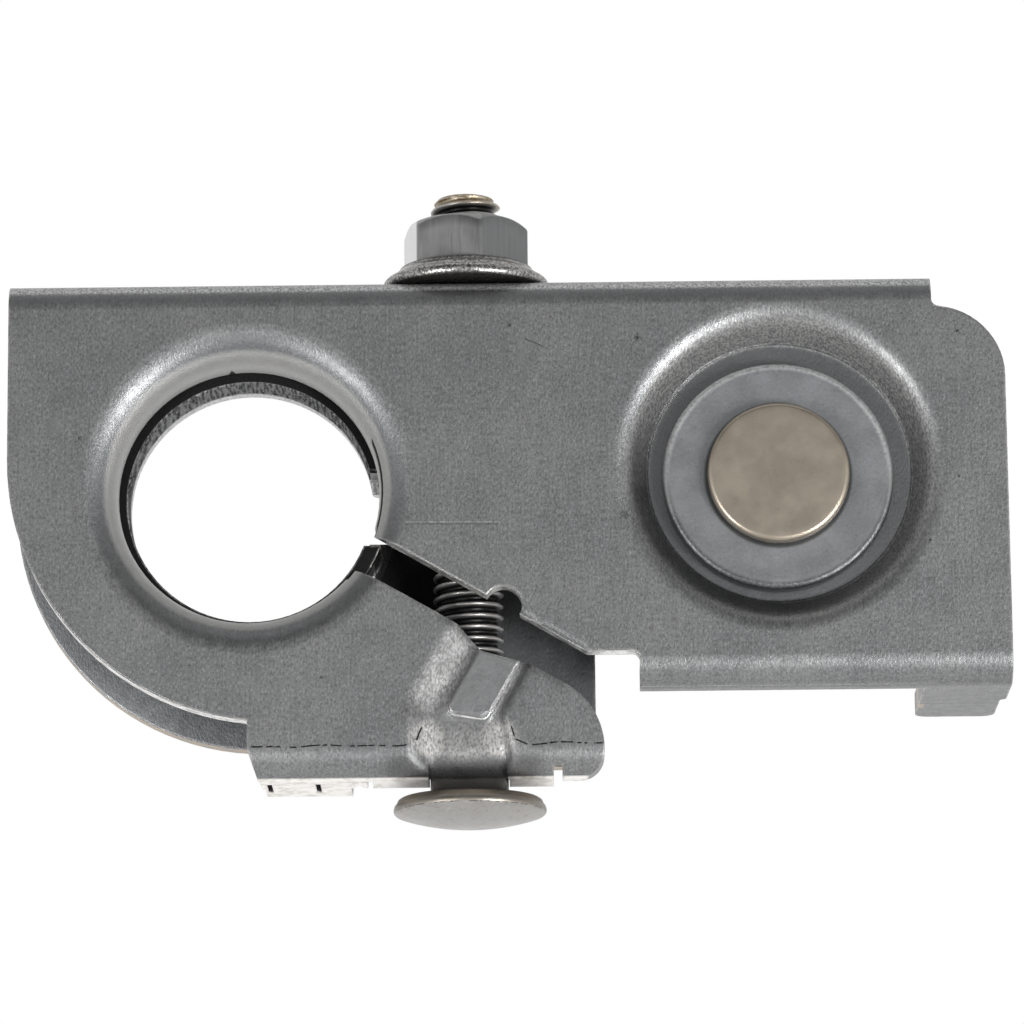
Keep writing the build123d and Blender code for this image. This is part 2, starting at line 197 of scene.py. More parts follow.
def arc(cx, cy, r, a0, a1, steps):
    """Points of an arc in (radius, height), angles in degrees."""
    turn = [math.radians(a0 + (a1 - a0) * i / steps) for i in range(steps + 1)]
    return [(cx + r * math.cos(a), cy + r * math.sin(a)) for a in turn]


def polar(rings, close_start=True, close_end=True):
    """Vertices and faces of a stack of closed rings, each a list of points with the same count."""
    n = len(rings[0])
    verts = [p for ring in rings for p in ring]
    faces = []
    for k in range(len(rings) - 1):
        for i in range(n):
            a, b = k * n + i, k * n + (i + 1) % n
            faces.append((a, b, b + n, a + n))
    if close_start:
        faces.append(tuple(reversed(range(n))))
    if close_end:
        faces.append(tuple((len(rings) - 1) * n + i for i in range(n)))
    return verts, faces


def about_y(x0, z0):
    return lambda r, h, t: (x0 + r * math.cos(t), h, z0 - r * math.sin(t))


def about_z(x0, y0, way=1.0):
    return lambda r, h, t: (x0 + r * math.cos(t), y0 + way * r * math.sin(t), h)


def round_ring(place, r, h, segments):
    return [place(r, h, 2 * math.pi * i / segments) for i in range(segments)]


def thread_wave(u):
    """Depth below the crest, 0 to 1, over one pitch: rounded crest, sloped flanks, rounded root."""
    d = abs(u % 1.0 - 0.5) * 2.0
    s = min(max((d - 0.12) / 0.68, 0.0), 1.0)
    return s * s * (3 - 2 * s) * 0.35 + s * 0.65


def thread_rings(place, r, depth, pitch, start, end, taper_in, taper_out, segments, per_pitch=14):
    """Rings of a right-hand thread between two heights, fading to a plain cylinder at its run-out."""
    rings = []
    steps = int(abs(end - start) / pitch * per_pitch)
    way = 1.0 if end > start else -1.0
    for k in range(steps + 1):
        h = start + (end - start) * k / steps
        left = abs(end - h)
        fade = min(1.0, abs(h - start) / taper_in)
        ring = []
        for i in range(segments):
            t = 2 * math.pi * i / segments
            w = thread_wave(h / pitch - way * t / (2 * math.pi))
            rr = r - depth * (w * fade + (1 - fade) * 0.25)
            if left < taper_out:
                rr = min(rr, r - (taper_out - left) * 0.9)
            ring.append(place(rr, h, t))
        rings.append(ring)
    return rings


# Node helpers
class Nodes:
    """Short-hand for building a material's node tree, with positions in millimetres."""

    def __init__(self, name):
        self.mat = bpy.data.materials.new(name)
        self.mat.use_nodes = True
        self.nt = self.mat.node_tree
        self.nt.nodes.clear()
        self.out = self.nt.nodes.new("ShaderNodeOutputMaterial")
        self.bsdf = self.nt.nodes.new("ShaderNodeBsdfPrincipled")
        self.nt.links.new(self.bsdf.outputs[0], self.out.inputs[0])
        self.coord = self.nt.nodes.new("ShaderNodeTexCoord").outputs["Object"]
        split = self.nt.nodes.new("ShaderNodeSeparateXYZ")
        self.nt.links.new(self.coord, split.inputs[0])
        self.x, self.y, self.z = [self.math("MULTIPLY", s, 1000.0) for s in split.outputs]

    def put(self, socket, value):
        if isinstance(value, bpy.types.NodeSocket):
            self.nt.links.new(value, socket)
        else:
            socket.default_value = value

    def math(self, op, a, b=0.0, c=0.0, clamp=False):
        n = self.nt.nodes.new("ShaderNodeMath")
        n.operation = op
        n.use_clamp = clamp
        for i, v in enumerate((a, b, c)):
            self.put(n.inputs[i], v)
        return n.outputs[0]

    def all_of(self, *masks):
        out = masks[0]
        for m in masks[1:]:
            out = self.math("MULTIPLY", out, m)
        return out

    def any_of(self, *masks):
        out = masks[0]
        for m in masks[1:]:
            out = self.math("MAXIMUM", out, m)
        return out

    def noise(self, scale, detail, rough=0.55, stretch=(1, 1, 1), distortion=0.0):
        vector = self.coord
        if stretch != (1, 1, 1):
            mapping = self.nt.nodes.new("ShaderNodeMapping")
            mapping.inputs["Scale"].default_value = stretch
            self.nt.links.new(self.coord, mapping.inputs["Vector"])
            vector = mapping.outputs[0]
        n = self.nt.nodes.new("ShaderNodeTexNoise")
        self.put(n.inputs["Vector"], vector)
        n.inputs["Scale"].default_value = scale
        n.inputs["Detail"].default_value = detail
        n.inputs["Roughness"].default_value = rough
        n.inputs["Distortion"].default_value = distortion
        return n.outputs["Fac"]

    def ramp(self, fac, low, high, out_low=0.0, out_high=1.0):
        n = self.nt.nodes.new("ShaderNodeMapRange")
        n.interpolation_type = "SMOOTHSTEP"
        sockets = ("Value", "From Min", "From Max", "To Min", "To Max")
        for socket, value in zip(sockets, (fac, low, high, out_low, out_high)):
            self.put(n.inputs[socket], value)
        return n.outputs["Result"]

    def above(self, value, level, soft=0.1):
        return self.ramp(value, level - soft / 2, level + soft / 2)

    def below(self, value, level, soft=0.1):
        return self.ramp(value, level - soft / 2, level + soft / 2, 1.0, 0.0)

    def between(self, value, low, high, soft=0.1):
        return self.all_of(self.above(value, low, soft), self.below(value, high, soft))

    def mix(self, fac, a, b):
        n = self.nt.nodes.new("ShaderNodeMix")
        n.data_type = "RGBA"
        self.put(n.inputs["Factor"], fac)
        self.put(n.inputs["A"], a)
        self.put(n.inputs["B"], b)
        return n.outputs["Result"]

    def weigh(self, mask, share):
        return self.math("MULTIPLY", mask, share)

    def along(self, dx, dy):
        """Distance along a direction in the plane of the plates."""
        return self.math("ADD", self.math("MULTIPLY", self.x, dx), self.math("MULTIPLY", self.y, dy))

    def distance(self, a, b, a0, b0):
        da = self.math("SUBTRACT", a, a0)
        db = self.math("SUBTRACT", b, b0)
        squares = self.math("ADD", self.math("MULTIPLY", da, da), self.math("MULTIPLY", db, db))
        return self.math("SQRT", squares)

    def spot(self, centre, radius, ragged=None):
        """Mask of a round spot in X and Y, with a ragged rim if a noise is given."""
        away = self.distance(self.x, self.y, *centre)
        if ragged is not None:
            away = self.math("ADD", away, ragged)
        return self.ramp(away, radius * SOLID_SHARE, radius, 1.0, 0.0)

    def segment(self, a, b, width, wobble=None, fade=0.3):
        """Mask of a thin straight line between two points in X and Y."""
        length = math.hypot(b[0] - a[0], b[1] - a[1])
        ux, uy = (b[0] - a[0]) / length, (b[1] - a[1]) / length
        run = self.math("SUBTRACT", self.along(ux, uy), a[0] * ux + a[1] * uy)
        across = self.math("SUBTRACT", self.along(-uy, ux), a[1] * ux - a[0] * uy)
        if wobble is not None:
            across = self.math("ADD", across, wobble)
        near = self.ramp(self.math("ABSOLUTE", across), width * SOLID_SHARE, width, 1.0, 0.0)
        return self.all_of(near, self.above(run, 0.0, fade), self.below(run, length, fade))

    def upright(self):
        """1 on faces that stand across the plates."""
        g = self.nt.nodes.new("ShaderNodeNewGeometry")
        split = self.nt.nodes.new("ShaderNodeSeparateXYZ")
        self.nt.links.new(g.outputs["True Normal"], split.inputs[0])
        return self.ramp(self.math("ABSOLUTE", split.outputs["Z"]), 0.1, 0.4, 1.0, 0.0)

    def bevel_normal(self, radius):
        n = self.nt.nodes.new("ShaderNodeBevel")
        n.samples = BEVEL_SAMPLES
        self.put(n.inputs["Radius"], radius)
        return n.outputs[0]

    def edge_mask(self, normal, low=0.015, high=0.24):
        """1 where the rounded normal leaves the true one: along edges."""
        g = self.nt.nodes.new("ShaderNodeNewGeometry")
        d = self.nt.nodes.new("ShaderNodeVectorMath")
        d.operation = "DOT_PRODUCT"
        self.nt.links.new(normal, d.inputs[0])
        self.nt.links.new(g.outputs["Normal"], d.inputs[1])
        return self.ramp(self.math("SUBTRACT", 1.0, d.outputs["Value"]), low, high)

    def finish(self, colour, rough, height, bump, normal, metallic=METALLIC):
        self.put(self.bsdf.inputs["Base Color"], colour)
        self.put(self.bsdf.inputs["Metallic"], metallic)
        self.put(self.bsdf.inputs["Roughness"], rough)
        n = self.nt.nodes.new("ShaderNodeBump")
        n.inputs["Strength"].default_value = bump
        n.inputs["Distance"].default_value = BUMP_DISTANCE * MM
        self.nt.links.new(height, n.inputs["Height"])
        self.nt.links.new(normal, n.inputs["Normal"])
        self.nt.links.new(n.outputs[0], self.bsdf.inputs["Normal"])
        return self.mat


def grey(v, warm=0.0):
    return (v * (1 + warm), v, v * (1 - warm * 1.3), 1.0)


# Materials
def plated_sheet():
    m = Nodes("plated_sheet")
    x, y, z = m.x, m.y, m.z
    clouds = m.noise(170.0, detail=1.0, rough=0.6)
    mottle = m.noise(1150.0, detail=2.0, rough=0.68, stretch=(1, 0.8, 1))
    speck = m.noise(6800.0, detail=1.0, rough=0.75, stretch=(1, 0.5, 1))
    grain = m.noise(5200.0, detail=0.0, rough=0.6, stretch=(1, 0.07, 0.12))
    post = m.distance(x, y, 0.0, 0.0)
    dimple = m.distance(x, y, *DIMPLE)
    turn = math.radians(SLOT_ANGLE)
    slot = m.along(math.cos(turn), math.sin(turn))
    front = m.above(z, 3.9, 0.2)

    # Plain plate: clouds, mottling, fine speckle and a faint upright grain
    colour = m.mix(m.ramp(clouds, 0.35, 0.68), grey(0.178, -0.012), grey(0.204, -0.008))
    colour = m.mix(m.ramp(mottle, 0.5, 0.7, 0.0, 0.25), colour, grey(0.145, -0.015))
    colour = m.mix(m.ramp(speck, 0.52, 0.7, 0.0, 0.42), colour, grey(0.32))
    colour = m.mix(m.ramp(speck, 0.48, 0.3, 0.0, 0.48), colour, grey(0.075))
    colour = m.mix(m.ramp(grain, 0.55, 0.75, 0.0, 0.16), colour, grey(0.26))
    colour = m.mix(m.ramp(grain, 0.45, 0.28, 0.0, 0.16), colour, grey(0.11))

    # The pad that the tools rubbed smooth and light, and painted shade on the dimple's floor, the collar's mouth
    # and the band below the top crest
    pad = m.all_of(m.between(slot, PAD_NEAR, PAD_FAR, 0.2), m.above(y, JAW_FOLD + 1.8, 0.3),
                   front, m.below(y, -9.5, 0.3))
    floor = m.all_of(m.below(dimple, DIMPLE_R - 0.1, 0.2),
                     m.between(z, DIMPLE_FLOOR - 1.0, DIMPLE_FLOOR + 0.5, 0.2))
    mouth = m.all_of(m.between(post, FRONT_COLLAR_R + 0.9, FRONT_COLLAR_R + 1.9, 0.5), m.above(z, 2.0))
    bend = m.all_of(m.between(y, TOP - 1.7, TOP - 0.85, 0.5), m.above(z, 4.0, 0.4))
    pad_and_shade = m.any_of(m.weigh(pad, 0.75), m.weigh(floor, 0.85), m.weigh(mouth, 0.6), m.weigh(bend, 0.6))
    tone = m.mix(pad, grey(0.125, -0.02), grey(0.22, -0.01))
    colour = m.mix(pad_and_shade, colour, tone)
    # Painted highlight: a light speckled band along the top crest, made matte further down
    crest = m.all_of(m.above(y, TOP - 0.8, 0.3), m.above(z, 3.0))
    colour = m.mix(m.weigh(crest, 0.8), colour, m.mix(m.ramp(speck, 0.38, 0.6), grey(0.16), grey(0.42)))
    # Painted reflection: the front collar's lip made lighter
    lip = m.all_of(m.below(post, FRONT_COLLAR_R + 0.8, 0.4), m.above(z, FRONT_LIP - 0.1))
    colour = m.mix(m.weigh(lip, 0.8), colour, grey(0.4, 0.01))
    # Painted light on the dimple's wall, on its upper and right sides
    way = m.any_of(m.ramp(y, DIMPLE[1] - 2.0, DIMPLE[1] + 6.0),
                   m.ramp(x, DIMPLE[0], DIMPLE[0] + 8.0, 0.0, 0.7))
    wall = m.all_of(m.between(dimple, DIMPLE_R - 0.1, DIMPLE_R + 1.5, 0.7), way, m.above(z, 2.0))
    colour = m.mix(m.weigh(wall, 0.5), colour, m.mix(m.ramp(speck, 0.4, 0.6), grey(0.09), grey(0.24, 0.03)))

    # The channel's left slope darkened as painted shade, painted highlights on the crown at its foot, and painted
    # shade on the saddle
    slope = m.all_of(m.between(slot, 16.9, 19.2, 0.9), m.between(y, -16.4, -8.6, 1.2), m.above(z, 2.4))
    tone = m.mix(m.ramp(speck, 0.4, 0.62), grey(0.07), grey(0.13, 0.02))
    colour = m.mix(m.weigh(slope, 0.75), colour, tone)
    crown = m.any_of(m.spot((12.4, -17.7), 1.7), m.spot((17.2, -17.7), 1.7),
                     m.weigh(m.spot((14.8, -18.4), 2.2), 0.4))
    crown = m.all_of(crown, front, m.ramp(speck, 0.35, 0.6, 0.3, 1.0))
    colour = m.mix(m.weigh(crown, 0.75), colour, grey(0.5, 0.03))
    saddle = m.all_of(m.between(x, 9.6, 20.0, 1.5),
                      m.between(y, JAW_BOTTOM + 0.1, -18.8, 0.8), m.above(z, 2.0))
    colour = m.mix(m.weigh(saddle, 0.6), colour, grey(0.07))

    # The jaw's bottom flange, stained and made lighter as painted light, and the back plate's inner face: painted
    # light left of the bolt and painted shade right of it
    flange = m.below(y, JAW_BOTTOM + 0.1)
    stain = m.ramp(mottle, 0.34, 0.56)
    colour = m.mix(m.weigh(flange, 0.95), colour, m.mix(stain, grey(0.5, 0.06), grey(0.7, 0.03)))
    back = m.all_of(m.between(z, -INNER - 0.1, -INNER + 0.1, 0.1), m.below(x, 8.0, 1.0), m.below(y, 0.0, 1.0))
    colour = m.mix(m.weigh(back, 0.7), colour, grey(0.34, -0.02))
    shade_behind_bolt = m.all_of(m.between(z, -INNER - 0.1, -INNER + 0.1, 0.1), m.above(x, BOLT_X), m.below(y, -4.0))
    colour = m.mix(m.weigh(shade_behind_bolt, 0.75), colour, grey(0.1, -0.03))

    # Inside of the back collar: a torn wall, dark partly from its own torn surface and partly as painted shade,
    # the gap behind the front lip for the painted shade below, and a painted highlight on the far rim
    inside = m.all_of(m.below(post, BACK_COLLAR_R + 0.08, 0.06), m.below(z, BACK_LIP + 0.1))
    torn = m.mix(m.ramp(grain, 0.35, 0.65), grey(0.03), grey(0.13, -0.01))
    torn = m.mix(m.ramp(speck, 0.54, 0.66, 0.0, 0.7), torn, grey(0.3))
    colour = m.mix(inside, colour, torn)
    shaded_gap = m.all_of(m.between(post, BACK_COLLAR_R + 0.08, 10.6, 0.06),
                      m.between(z, BACK_LIP - 0.9, BACK_LIP + 0.1))
    rim = m.all_of(m.below(post, 10.2), m.between(z, -5.1, BACK_WALL_END + 1.0, 0.5))
    colour = m.mix(m.weigh(rim, 0.85), colour, m.mix(m.ramp(speck, 0.4, 0.6), grey(0.36), grey(0.7)))

    # Painted shade: near-black and matte in the space between the plates left of the bolt, and in the gap behind
    # the front lip
    depth = m.math("ABSOLUTE", z)
    fold = m.all_of(m.below(depth, INNER + 0.1), m.below(y, TOP - 1.45), m.above(y, JAW_BOTTOM + 1.45),
                    m.above(post, 9.25), m.above(x, 8.6), m.ramp(x, BOLT_X + 0.4, BOLT_X + 2.2, 1.0, 0.0))
    shaded_space = m.any_of(m.weigh(fold, 0.96), m.weigh(shaded_gap, 0.97))
    colour = m.mix(shaded_space, colour, grey(0.004))
    shaded_space = m.any_of(shaded_space, m.math("SUBTRACT", inside, rim, clamp=True))

    # Sheared edges of the plates: a painted highlight on those in front, and brownish at the back
    cut = m.all_of(m.upright(), m.between(y, JAW_BOTTOM + 1.9, TOP - 1.9),
                   m.above(post, 10.3), m.below(x, 47.0))
    shear = m.ramp(mottle, 0.35, 0.6, 0.35, 0.9)
    colour = m.mix(m.all_of(cut, m.between(z, INNER + 0.05, FACE + 0.1), shear), colour, grey(0.85, 0.01))
    colour = m.mix(m.all_of(cut, m.between(z, -FACE - 0.1, -INNER), shear), colour, (0.42, 0.34, 0.25, 1.0))

    # Edges worn light and broken up, with a trace of warm tint
    press = m.all_of(m.between(slot, 16.0, 26.0, 0.5), m.below(y, -8.0, 1.0), m.above(z, 2.2))
    press = m.math("SUBTRACT", press, m.all_of(pad, m.above(y, -15.8)), clamp=True)
    normal = m.bevel_normal(m.math("ADD", m.weigh(press, PRESSED_ROUND * MM), SHEET_ROUND * MM))
    broken = m.ramp(mottle, 0.58, 0.42, 0.15, 0.95)
    root = m.all_of(m.between(dimple, DIMPLE_R - 0.6, DIMPLE_R + 0.6), m.above(z, 2.0))
    spared = m.any_of(inside, press, m.weigh(pad, 0.3), root)
    worn = m.all_of(m.edge_mask(normal), broken, m.math("SUBTRACT", 1.0, spared, clamp=True))
    colour = m.mix(worn, colour, grey(0.62, 0.04))

    # Broken dark line where the jaw's fold begins, turned up beside the channel
    wobble = m.math("MULTIPLY", m.math("SUBTRACT", m.noise(420.0, detail=0.0), 0.5), 0.35)
    line = m.any_of(*[m.segment(a, b, 0.075, wobble, 0.15) for a, b in FOLD_LINE])
    line = m.all_of(line, m.above(z, 3.7), m.ramp(m.noise(2600.0, detail=0.0), 0.38, 0.5))

    # Painted shade in the crease round the dimple's floor, and a nick in the front collar painted as shade
    ring = m.all_of(m.between(dimple, DIMPLE_R - 0.1, DIMPLE_R, 0.06), m.above(z, 2.0))
    across = m.math("ADD", m.math("ABSOLUTE", m.math("ADD", x, 1.2)), m.weigh(z, 0.25))
    nick = m.all_of(m.ramp(across, 0.5, 0.6, 1.0, 0.0),
                    m.above(y, 8.0), m.below(post, 10.4), m.above(z, FRONT_LIP - 0.05))
    line = m.any_of(line, m.weigh(ring, 0.6), nick)
    colour = m.mix(line, colour, grey(0.012))

    # Scratches and pits that handling has left on the front face, with the painted highlight and painted shade
    # along the embossed line
    thin = [m.weigh(m.segment(a, b, 0.04, wobble), 0.45) for a, b in THIN_SCRATCHES]
    scratch_and_highlight = m.any_of(m.segment(*EMBOSS_HIGHLIGHT, 0.05), *thin)
    colour = m.mix(m.all_of(scratch_and_highlight, front, m.ramp(speck, 0.4, 0.6, 0.15, 0.7)), colour, grey(0.38))
    ragged = m.weigh(m.math("ADD", mottle, m.math("MULTIPLY_ADD", speck, 0.5, -0.75)), 0.9)
    pits_gouge_and_shade = m.any_of(m.weigh(m.segment(*EMBOSS_SHADE, 0.05), 0.7),
                    m.weigh(m.segment(*GOUGE, 0.06, wobble), 0.8),
                    *[m.spot(centre, radius, ragged) for centre, radius in PITS])
    pits_gouge_and_shade = m.all_of(pits_gouge_and_shade, front, m.ramp(mottle, 0.35, 0.6, 0.35, 0.9))
    colour = m.mix(pits_gouge_and_shade, colour, grey(0.035))

    # Sheen: rougher where the sheet was bent, and almost none in the painted-shade space
    rough = m.math("ADD", m.ramp(mottle, 0.3, 0.7, 0.38, 0.46), m.weigh(m.any_of(lip, bend, slope), 0.1))
    rough = m.math("ADD", rough, m.weigh(shaded_space, 0.5), clamp=True)
    m.put(m.bsdf.inputs["Specular IOR Level"], m.math("MULTIPLY_ADD", shaded_space, -0.48, 0.5))
    matte = m.any_of(shaded_space, m.weigh(wall, 0.45), m.weigh(flange, 0.4), m.weigh(crest, 0.6))
    metallic = m.math("MULTIPLY_ADD", matte, -METALLIC, METALLIC)
    height = m.math("ADD", m.weigh(speck, 0.9), m.weigh(mottle, 0.4))
    return m.finish(colour, rough, height, 0.52, normal, metallic)


def steel(name, base, warm, scale, contrast, streak=(1, 1, 1), stain=0.0):
    """Clouded and speckled steel: its node tree, colour, and the noises that made it."""
    m = Nodes(name)
    clouds = m.noise(420.0, detail=2.0, rough=0.6)
    speck = m.noise(scale, detail=2.0, rough=0.7, stretch=streak)
    colour = m.mix(m.ramp(clouds, 0.32, 0.7), grey(base * 0.93, warm), grey(base * 1.06, warm))
    colour = m.mix(m.ramp(speck, 0.55, 0.75, 0.0, contrast), colour, grey(base * 1.5, warm))
    colour = m.mix(m.ramp(speck, 0.45, 0.28, 0.0, contrast), colour, grey(base * 0.5, warm))
    if stain:
        spots = m.ramp(m.noise(950.0, detail=3.0, rough=0.6, distortion=0.6), 0.6, 0.72, 0.0, stain)
        colour = m.mix(spots, colour, grey(base * 0.35, warm * 2 + 0.05))
    return m, colour, speck, clouds


def bolt_steel():
    m, colour, speck, clouds = steel("bolt_steel", 0.31, 0.035, 3000.0, 0.35, stain=0.4)
    r = m.distance(m.x, m.z, BOLT_X, 0.0)
    shank = m.above(m.y, HEAD_SEAT + NECK_LENGTH)
    # Painted shade in the thread's roots and a painted highlight on its crests
    thread_light_and_shade = m.mix(m.ramp(r, BOLT_R - THREAD_DEPTH * 0.75, BOLT_R - 0.03), grey(0.018), grey(0.34, 0.02))
    colour = m.mix(shank, colour, thread_light_and_shade)
    tip = m.all_of(m.above(m.y, BOLT_TIP - 0.75, 0.3), m.ramp(clouds, 0.3, 0.6, 0.6, 1.0))
    colour = m.mix(tip, colour, m.mix(m.ramp(speck, 0.4, 0.6), grey(0.17, 0.3), grey(0.3, 0.16)))
    # Painted shade on the square neck, under the head, and on the head's rim on its +Z side
    shaded_neck = m.all_of(m.above(m.y, HEAD_SEAT + 0.05), m.below(m.y, HEAD_SEAT + NECK_LENGTH))
    colour = m.mix(m.weigh(shaded_neck, 0.95), colour, grey(0.025, 0.05))
    shade_under = m.all_of(m.above(m.y, HEAD_SEAT - 0.42, 0.3), m.below(m.y, HEAD_SEAT + 0.05))
    colour = m.mix(m.weigh(shade_under, 0.85), colour, grey(0.05, 0.15))
    shaded_brow = m.all_of(m.between(m.y, HEAD_SEAT - 0.9, HEAD_SEAT, 0.15), m.above(m.z, 0.5, 2.0))
    colour = m.mix(m.weigh(shaded_brow, 0.65), colour, grey(0.13, 0.18))
    seam = m.all_of(m.between(m.y, HEAD_SEAT - 0.95, HEAD_SEAT - 0.9, 0.05),
                    m.ramp(m.noise(3300.0, detail=1.0), 0.42, 0.55))
    colour = m.mix(m.weigh(seam, 0.85), colour, grey(0.03, 0.1))
    normal = m.bevel_normal(STEEL_ROUND * MM)
    colour = m.mix(m.weigh(m.edge_mask(normal), 0.4), colour, grey(0.55, 0.03))
    height = m.math("ADD", speck, m.weigh(clouds, 0.5))
    return m.finish(colour, m.ramp(clouds, 0.3, 0.7, 0.3, 0.45), height, 0.35, normal)


def nut_steel():
    m, colour, speck, clouds = steel("nut_steel", 0.215, 0.0, 4200.0, 0.4, (1, 0.06, 1))
    flange = m.below(m.y, NUT_SEAT + 1.66, 0.08)
    grit = m.noise(5200.0, detail=2.0, rough=0.75)
    skirt = m.mix(m.ramp(grit, 0.38, 0.62), grey(0.1), grey(0.36, 0.03))
    # Painted light on the nut's left side and painted shade on its right side
    colour = m.mix(m.weigh(m.below(m.x, BOLT_X - 3.4, 0.15), 0.8), colour, grey(0.8))
    colour = m.mix(m.weigh(m.above(m.x, BOLT_X + 1.2, 0.15), 0.55), colour, grey(0.1, -0.03))
    colour = m.mix(flange, colour, skirt)
    # A dark line at the step over the flange, and painted shade along the flange's foot
    step = m.all_of(m.between(m.y, NUT_SEAT + 1.64, NUT_SEAT + 1.74, 0.05), m.ramp(grit, 0.3, 0.5, 0.6, 1.0))
    foot = m.below(m.y, NUT_SEAT + 0.2, 0.12)
    colour = m.mix(m.weigh(m.any_of(step, foot), 0.9), colour, grey(0.02, 0.1))
    # Painted shade in the bore
    bore = m.below(m.distance(m.x, m.z, BOLT_X, 0.0), 2.66)
    colour = m.mix(m.weigh(bore, 0.9), colour, grey(0.02))
    normal = m.bevel_normal(NUT_ROUND * MM)
    tone = m.mix(m.between(m.y, NUT_SEAT + 1.7, NUT_TOP - 0.8, 0.3), grey(0.45, 0.03), grey(0.05))
    colour = m.mix(m.weigh(m.edge_mask(normal, 0.01, 0.1), 0.5), colour, tone)
    height = m.math("ADD", speck, m.weigh(m.all_of(flange, grit), 1.2))
    rough = m.math("ADD", m.ramp(clouds, 0.3, 0.7, 0.34, 0.46), m.weigh(flange, -0.12))
    return m.finish(colour, rough, height, 0.5, normal)


def washer_steel():
    m, colour, speck, clouds = steel("washer_steel", 0.212, -0.025, 4500.0, 0.3)
    r = m.distance(m.x, m.y, *STUD)
    # The rim lighter towards +Y as painted light and darker towards -Y as painted shade
    rim = m.all_of(m.above(r, WASHER_R - 0.45, 0.3), m.ramp(speck, 0.35, 0.55, 0.5, 1.0))
    tone = m.mix(m.ramp(m.y, STUD[1] - 4.0, STUD[1] + 5.0), grey(0.05), grey(0.55))
    colour = m.mix(m.weigh(rim, 0.8), colour, tone)
    # Painted shade round the stud's head and on the washer's side
    ring = m.below(r, STUD_HEAD_R + 0.22, 0.25)
    colour = m.mix(m.weigh(ring, 0.8), colour, grey(0.03))
    side = m.below(m.z, WASHER_TOP - 0.35, 0.2)
    colour = m.mix(m.weigh(side, 0.6), colour, grey(0.05))
    normal = m.bevel_normal(STEEL_ROUND * MM)
    return m.finish(colour, m.ramp(clouds, 0.3, 0.7, 0.42, 0.48), speck, 0.3, normal)


def stud_nickel():
    m, colour, speck, clouds = steel("stud_nickel", 0.27, 0.14, 2400.0, 0.12, stain=0.12)
    r = m.distance(m.x, m.y, *STUD)
    # Painted shade under the head
    shade_under = m.below(m.z, WASHER_TOP + 0.35, 0.2)
    colour = m.mix(m.all_of(shade_under, m.above(m.z, DIMPLE_FLOOR)), colour, grey(0.03, 0.1))
    normal = m.bevel_normal(STEEL_ROUND * MM)
    rim = m.all_of(m.between(r, STUD_HEAD_R - 0.3, STUD_HEAD_R - 0.08, 0.12),
                   m.ramp(m.noise(900.0, detail=3.0), 0.4, 0.6, 0.3, 1.0))
    colour = m.mix(m.weigh(rim, 0.4), colour, grey(0.3, 0.16))
    height = m.math("ADD", m.weigh(speck, 0.5), m.weigh(clouds, 0.5))
    return m.finish(colour, m.ramp(clouds, 0.3, 0.7, 0.34, 0.4), height, 0.2, normal)


MAT_SHEET = plated_sheet()
MAT_BOLT = bolt_steel()
MAT_NUT = nut_steel()
MAT_WASHER = washer_steel()
MAT_STUD = stud_nickel()

# The folded body keeps its own solid; finer pieces replace the four other nodes further down
shade_smooth(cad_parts["clamp_body"].data, 24)
dressed = (
    ("clamp_body", MAT_SHEET),
    ("clamp_bolt", MAT_BOLT),
    ("clamp_nut", MAT_NUT),
    ("stud_washer", MAT_WASHER),
    ("terminal_stud", MAT_STUD),
)
for name, mat in dressed:
    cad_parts[name].data.materials.clear()
    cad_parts[name].data.materials.append(mat)


def bolt_piece():
    """Domed head with its rim, square neck with rounded corners, and a threaded shank."""
    place = about_y(BOLT_X, 0.0)
    segments = 72
    dome_r = (HEAD_R ** 2 + HEAD_DOME ** 2) / (2 * HEAD_DOME)
    apex = HEAD_SEAT - HEAD_RIM - HEAD_DOME
    rim_r = HEAD_R - HEAD_ROUND
    spread = math.asin(rim_r / dome_r)
    dome_steps = 16
    head = []
    for i in range(dome_steps + 1):
        a = spread * i / dome_steps
        head.append((max(dome_r * math.sin(a), POLE_R), apex + dome_r * (1 - math.cos(a))))
    head += arc(rim_r, HEAD_SEAT - 0.75, HEAD_ROUND, -62, 25, 8)
    head += [(5.24, HEAD_SEAT - 0.5), (5.12, HEAD_SEAT - 0.36), (5.0, HEAD_SEAT - 0.1), (4.85, HEAD_SEAT)]
    rings = [round_ring(place, r, h, segments) for r, h in head]

    squareness = 14.0
    corner_share = 1.36

    def square(half, h):
        ring = []
        for i in range(segments):
            t = 2 * math.pi * i / segments
            r = half / (abs(math.cos(t)) ** squareness + abs(math.sin(t)) ** squareness) ** (1 / squareness)
            ring.append(place(min(r, half * corner_share), h, t))
        return ring

    rings.append(square(2.68, HEAD_SEAT + 0.02))
    rings += [square(NECK_HALF, h) for h in (-20.9, -20.0, -19.0, -18.2, -17.75)]
    rings += [round_ring(place, r, h, segments) for r, h in ((2.5, -17.58), (2.3, -17.4), (2.3, -15.6))]
    rings += thread_rings(place, BOLT_R, THREAD_DEPTH, PITCH, THREAD_START, BOLT_TIP, 1.0, 0.55, segments)
    verts, faces = polar(rings)
    return mesh_object("bolt_with_thread", verts, faces, "bolt", MAT_BOLT, 50)


